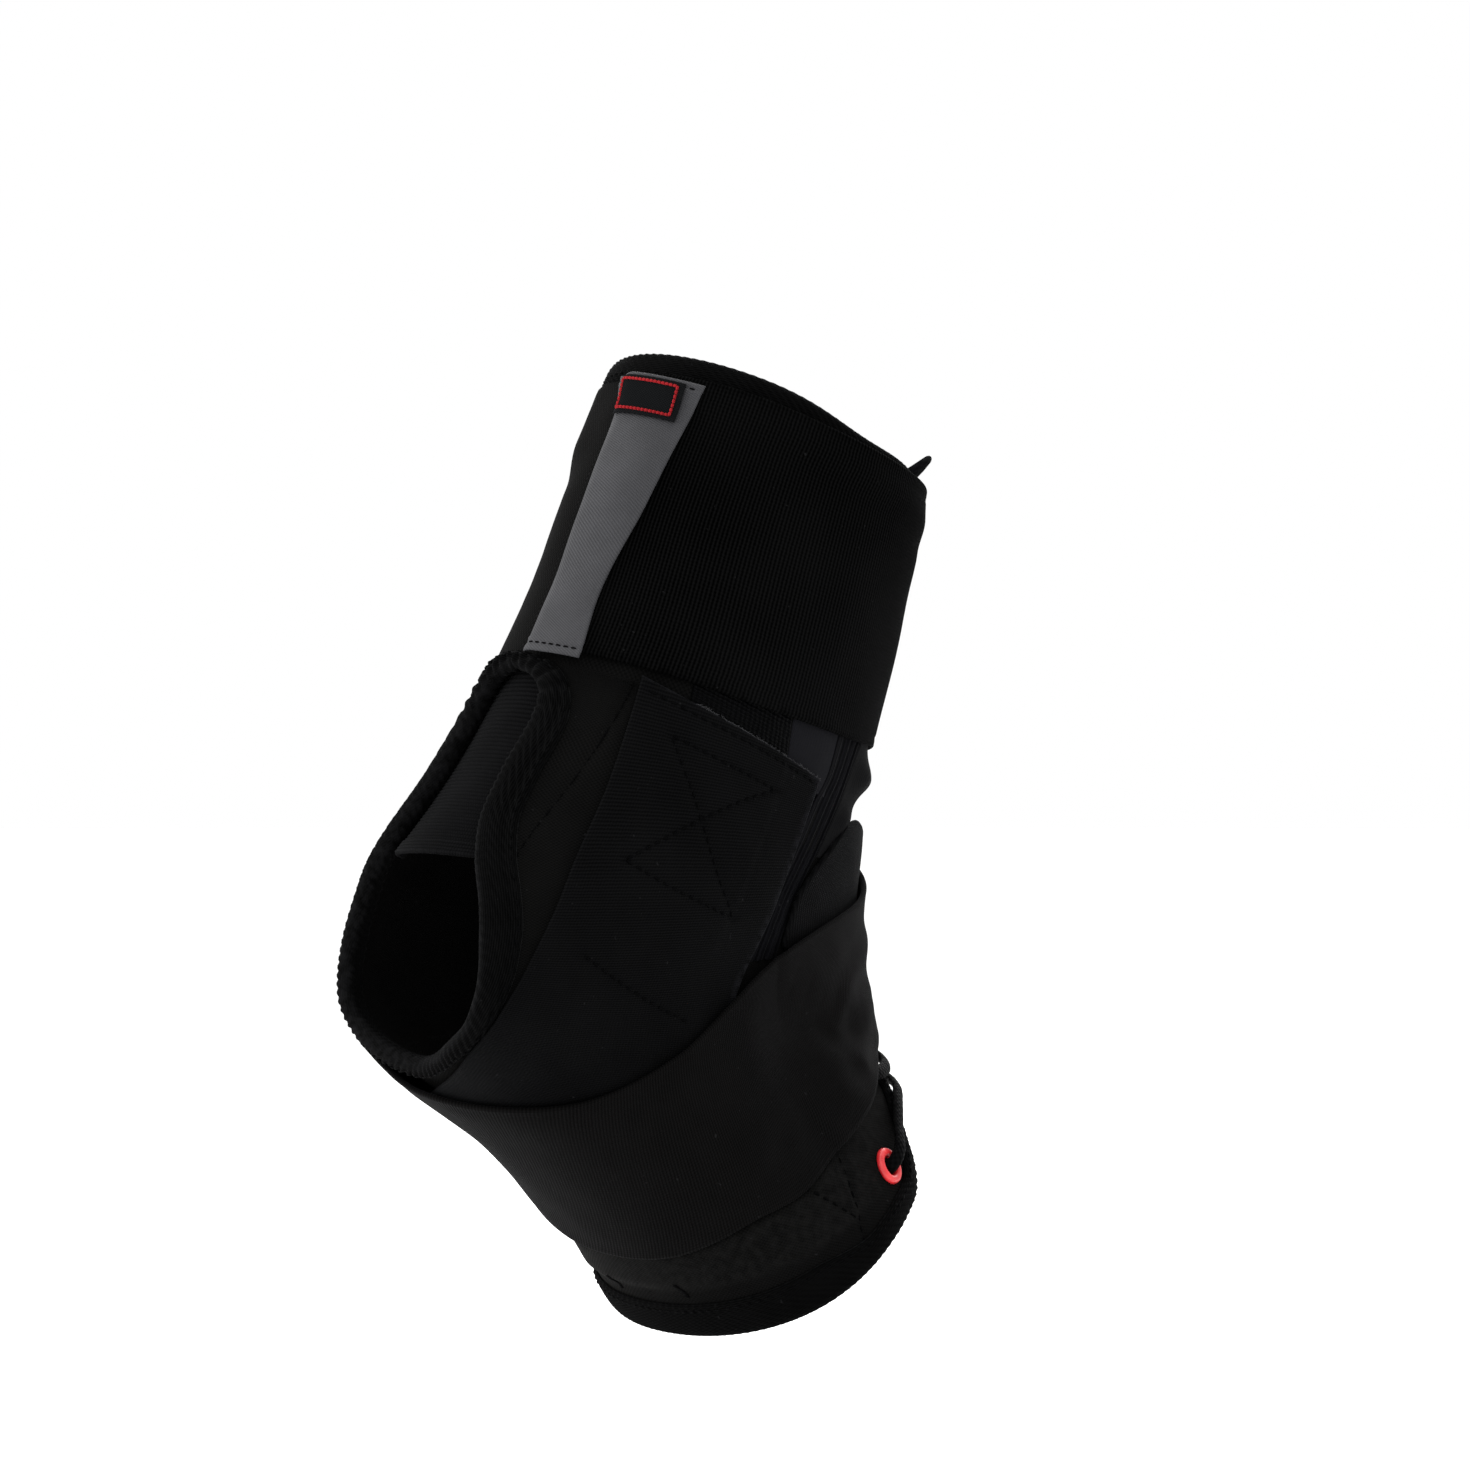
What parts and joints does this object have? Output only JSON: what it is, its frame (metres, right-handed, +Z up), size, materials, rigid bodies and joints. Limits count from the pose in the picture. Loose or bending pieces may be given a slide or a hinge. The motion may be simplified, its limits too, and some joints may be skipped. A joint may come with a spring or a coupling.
{
  "type": "ankle brace",
  "caption": "Lace-up fabric ankle brace with crossing straps, an elastic top cuff, an open heel with a knit tendon panel, a tongue and tape-bound rims.",
  "frame": {"origin": "middle of the ankle inside the brace, where the wearer's ankle holds it up", "axes": "+Z up, +X towards the toes, -Y the side with the label strip; the brace leans forward as it does on a pointed foot"},
  "size_m": [0.1516, 0.1028, 0.248],
  "materials": {
    "shell_fabric": "matt black woven nylon, slightly warm",
    "tongue_fabric": "smooth black padded fabric",
    "tendon_knit": "black ribbed elastic knit",
    "binding_tape": "black ribbed edging tape, folded and stitched",
    "strap_webbing": "black twill strap, slightly blue",
    "cuff_elastic": "black ribbed elastic, slightly blue",
    "label_twill": "grey satin twill",
    "patch_weave": "black woven patch with a red thread edge",
    "eyelet_enamel": "red enamelled ring",
    "lace_cord": "black braided lace"
  },
  "bodies": {
    "root": {"shell": "shell_fabric", "tongue": "tongue_fabric", "achilles_panel": "tendon_knit", "binding_top": "binding_tape", "binding_heel": "binding_tape", "binding_toe": "binding_tape", "strap_inner": "strap_webbing", "strap_outer": "strap_webbing", "cuff": "cuff_elastic", "label_strip": "label_twill", "label_patch": "patch_weave", "eyelet_near_1": "eyelet_enamel", "eyelet_far_1": "eyelet_enamel", "eyelet_near_2": "eyelet_enamel", "eyelet_far_2": "eyelet_enamel", "lace": "lace_cord"}
  },
  "joints": []
}
